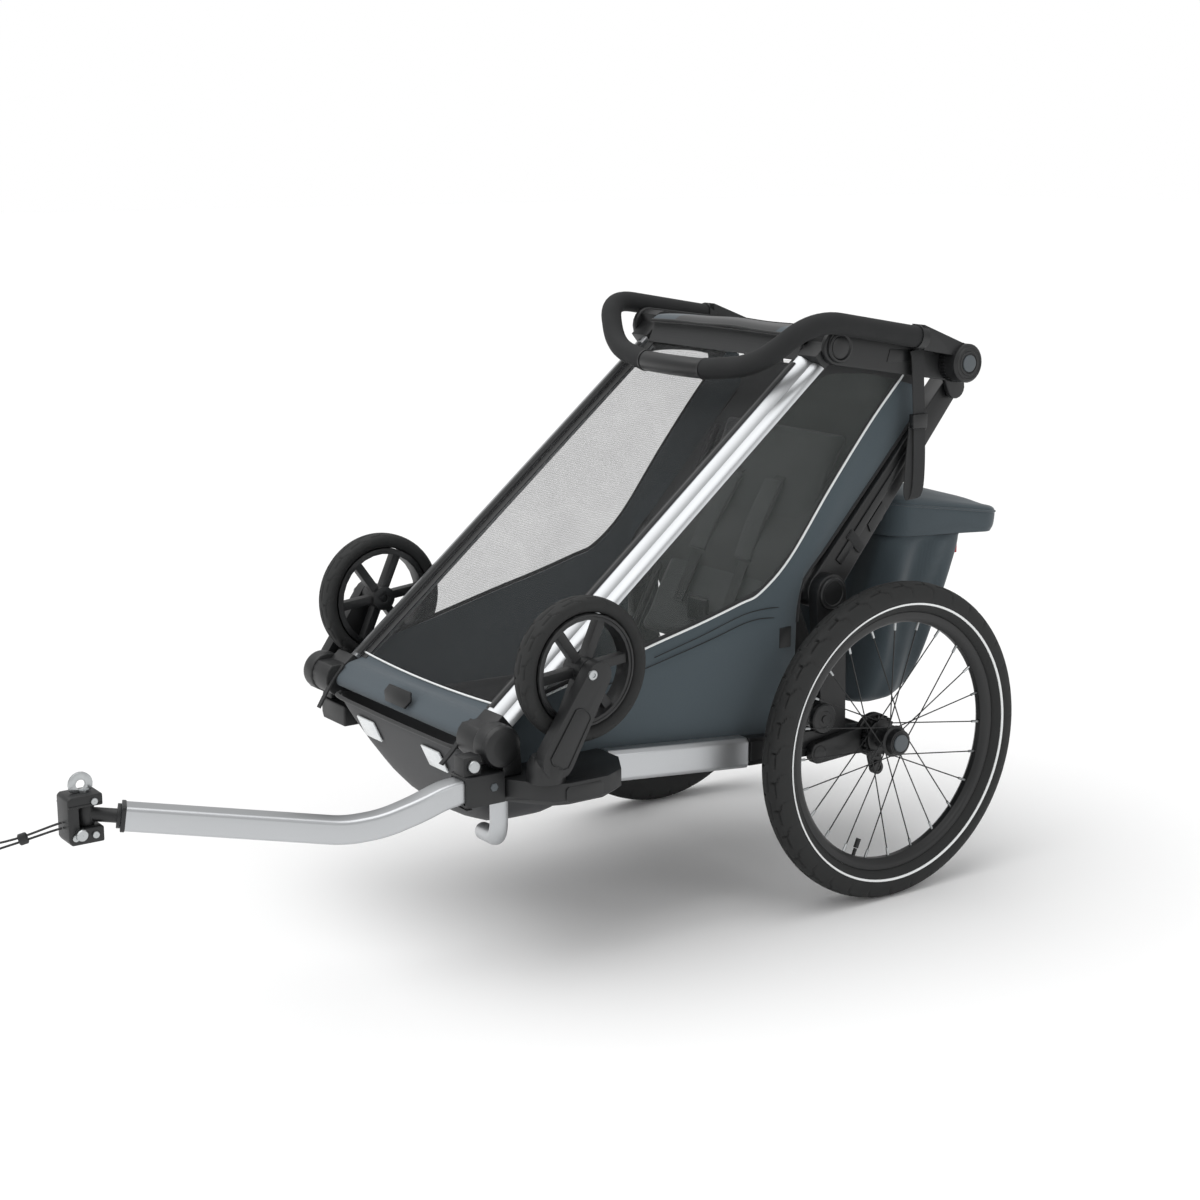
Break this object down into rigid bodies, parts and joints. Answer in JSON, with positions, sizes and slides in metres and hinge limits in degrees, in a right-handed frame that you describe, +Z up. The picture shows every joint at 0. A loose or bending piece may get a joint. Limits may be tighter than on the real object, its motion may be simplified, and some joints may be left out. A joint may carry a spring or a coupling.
{
  "type": "child bicycle trailer",
  "caption": "Folding child bicycle trailer with spoked main wheels, stowed stroller wheels, a reversing handlebar, a cargo bag and a bent tow arm with a swivelling hitch.",
  "frame": {"origin": "middle of the trailer's footprint on the ground, from the hitch block's front to the cargo bag's rear", "axes": "+Z up, +Y rearwards along the direction of travel, +X to the trailer's left side"},
  "size_m": [0.67, 1.712, 0.9114],
  "materials": {
    "aluminium": "satin clear-anodised aluminium extrusion",
    "steel": "zinc-plated steel",
    "black_plastic": "fine-textured black moulded plastic",
    "button_grey": "grey moulded plastic",
    "rubber": "matt black tyre rubber",
    "black_foam": "closed-cell black foam",
    "black_metal": "black powder coat",
    "side_fabric": "blue-grey woven polyester",
    "panel_fabric": "blue-grey woven polyester",
    "dark_fabric": "dark grey ripstop and mesh",
    "nose_fabric": "dark grey coated fabric",
    "seat_fabric": "padded dark grey fabric",
    "webbing": "black polyester webbing and cord",
    "reflector": "white reflector"
  },
  "bodies": {
    "chassis": {"floor_tub": "nose_fabric", "side_rail_L": "aluminium", "side_rail_R": "aluminium", "carrier_base_L": "black_plastic", "carrier_base_R": "black_plastic", "front_pivot_L": "black_plastic", "front_pivot_R": "black_plastic", "foot_bow": "aluminium", "reflector_L": "reflector", "reflector_R": "reflector", "rear_chassis": "black_plastic", "cabin_side_L": "side_fabric", "cabin_side_R": "side_fabric", "cargo_bag": "side_fabric", "seat_base": "seat_fabric", "arm_receiver": "black_plastic"},
    "receiver_lock": {"receiver_lock": "steel"},
    "brake_pedal": {"brake_pedal": "black_plastic"},
    "front_frame": {"strut_L": "aluminium", "strut_R": "aluminium", "front_yoke": "black_plastic", "top_yoke": "black_plastic", "front_cover": "dark_fabric", "front_panel": "panel_fabric"},
    "top_bracket": {"bracket_L": "black_plastic", "bracket_R": "black_plastic", "roof_canopy": "dark_fabric"},
    "handlebar": {"foam_grip_L": "black_foam", "foam_grip_R": "black_foam", "bar_socket_L": "black_plastic", "bar_socket_R": "black_plastic", "grip_sleeve": "black_plastic"},
    "rear_frame": {"rear_frame": "black_plastic"},
    "back_frame": {"back_frame": "black_metal"},
    "seat_back": {"seat_back": "seat_fabric"},
    "tow_arm": {"tow_arm": "aluminium"},
    "hitch_stub": {"hitch_stub": "black_plastic"},
    "hitch": {"hitch_block": "black_plastic", "axle_plate": "steel", "safety_cord": "webbing", "cord_toggle": "black_plastic"},
    "suspension_left": {"swing_arm_L": "black_metal"},
    "wheel_left": {"tyre_L": "rubber", "rim_L": "black_metal", "hub_L": "black_metal"},
    "axle_button_left": {"hub_button_L": "button_grey"},
    "fork_left": {"fork_L": "black_plastic"},
    "stroller_wheel_left": {"stroller_tyre_L": "rubber", "stroller_rim_L": "black_plastic"},
    "knuckle_button_left": {"knuckle_button_L": "button_grey"},
    "suspension_right": {"swing_arm_R": "black_metal"},
    "wheel_right": {"tyre_R": "rubber", "rim_R": "black_metal", "hub_R": "black_metal"},
    "axle_button_right": {"hub_button_R": "button_grey"},
    "fork_right": {"fork_R": "black_plastic"},
    "stroller_wheel_right": {"stroller_tyre_R": "rubber", "stroller_rim_R": "black_plastic"},
    "knuckle_button_right": {"knuckle_button_R": "button_grey"}
  },
  "joints": [
    {"name": "frame_fold", "type": "hinge", "parent": "chassis", "child": "front_frame", "pos_m": [0, -0.2322, 0.348], "axis": [-1, 0, 0], "range_deg": [0, 21], "deforming": ["cabin_side_L", "cabin_side_R", "cargo_bag"]},
    {"name": "rear_frame_fold", "type": "hinge", "parent": "chassis", "child": "rear_frame", "pos_m": [0, 0.3718, 0.485], "axis": [-1, 0, 0], "range_deg": [0, 47.1]},
    {"name": "top_bracket_fold", "type": "hinge", "parent": "front_frame", "child": "top_bracket", "pos_m": [0, 0.3813, 0.8565], "axis": [1, 0, 0], "range_deg": [0, 12.3]},
    {"name": "back_frame_fold", "type": "hinge", "parent": "chassis", "child": "back_frame", "pos_m": [0, 0.2928, 0.335], "axis": [-1, 0, 0], "range_deg": [0, 45.9]},
    {"name": "seat_recline", "type": "hinge", "parent": "back_frame", "child": "seat_back", "pos_m": [0, 0.2928, 0.335], "axis": [-1, 0, 0], "range_deg": [0, 8]},
    {"name": "handlebar_turn", "type": "hinge", "parent": "top_bracket", "child": "handlebar", "pos_m": [0, 0.6158, 0.821], "axis": [-1, 0, 0], "range_deg": [0, 160]},
    {"name": "receiver_lock_turn", "type": "hinge", "parent": "chassis", "child": "receiver_lock", "pos_m": [0.262, -0.2785, 0.3285], "axis": [1, 0, 0], "range_deg": [0, 90]},
    {"name": "brake_pedal_press", "type": "hinge", "parent": "chassis", "child": "brake_pedal", "pos_m": [0, 0.5028, 0.205], "axis": [-1, 0, 0], "range_deg": [0, 20]},
    {"name": "tow_arm_slide", "type": "slide", "parent": "chassis", "child": "tow_arm", "axis": [0, -1, 0], "range_m": [0, 0.055]},
    {"name": "hitch_roll", "type": "hinge", "parent": "tow_arm", "child": "hitch_stub", "pos_m": [0.1, -0.7162, 0.298], "axis": [-0.3745, -0.9159, 0.1447], "range_deg": [-60, 60]},
    {"name": "hitch_yaw", "type": "hinge", "parent": "hitch_stub", "child": "hitch", "pos_m": [0.08277, -0.75833, 0.30466], "axis": [0, 0, 1], "range_deg": [-55, 55]},
    {"name": "knuckle_press_left", "type": "slide", "parent": "handlebar", "child": "knuckle_button_left", "axis": [-1, 0, 0], "range_m": [0, 0.0025], "stiffness_N_per_m": 600},
    {"name": "suspension_left", "type": "hinge", "parent": "chassis", "child": "suspension_left", "pos_m": [0.258, 0.3428, 0.24], "axis": [1, 0, 0], "range_deg": [-4, 6], "stiffness_Nm_per_rad": 600, "springref_deg": -0.69},
    {"name": "wheel_spin_left", "type": "hinge", "parent": "suspension_left", "child": "wheel_left", "pos_m": [0.3, 0.4578, 0.25], "axis": [1, 0, 0], "continuous": true},
    {"name": "axle_button_press_left", "type": "slide", "parent": "wheel_left", "child": "axle_button_left", "axis": [-1, 0, 0], "range_m": [0, 0.003], "stiffness_N_per_m": 600},
    {"name": "fork_lift_left", "type": "slide", "parent": "chassis", "child": "fork_left", "axis": [0, 0, 1], "range_m": [0, 0.05]},
    {"name": "stroller_wheel_spin_left", "type": "hinge", "parent": "fork_left", "child": "stroller_wheel_left", "pos_m": [0.283, -0.1142, 0.445], "axis": [1, 0, 0], "continuous": true},
    {"name": "knuckle_press_right", "type": "slide", "parent": "handlebar", "child": "knuckle_button_right", "axis": [1, 0, 0], "range_m": [0, 0.0025], "stiffness_N_per_m": 600},
    {"name": "suspension_right", "type": "hinge", "parent": "chassis", "child": "suspension_right", "pos_m": [-0.258, 0.3428, 0.24], "axis": [1, 0, 0], "range_deg": [-4, 6], "stiffness_Nm_per_rad": 600, "springref_deg": -0.69},
    {"name": "wheel_spin_right", "type": "hinge", "parent": "suspension_right", "child": "wheel_right", "pos_m": [-0.3, 0.4578, 0.25], "axis": [1, 0, 0], "continuous": true},
    {"name": "axle_button_press_right", "type": "slide", "parent": "wheel_right", "child": "axle_button_right", "axis": [1, 0, 0], "range_m": [0, 0.003], "stiffness_N_per_m": 600},
    {"name": "fork_lift_right", "type": "slide", "parent": "chassis", "child": "fork_right", "axis": [0, 0, 1], "range_m": [0, 0.05]},
    {"name": "stroller_wheel_spin_right", "type": "hinge", "parent": "fork_right", "child": "stroller_wheel_right", "pos_m": [-0.283, -0.1142, 0.445], "axis": [1, 0, 0], "continuous": true}
  ],
  "couplings": [
    {"joint": "rear_frame_fold", "follows": "frame_fold", "ratio": 2.2393},
    {"joint": "top_bracket_fold", "follows": "frame_fold", "ratio": 0.58},
    {"joint": "back_frame_fold", "follows": "frame_fold", "ratio": 2.18}
  ]
}
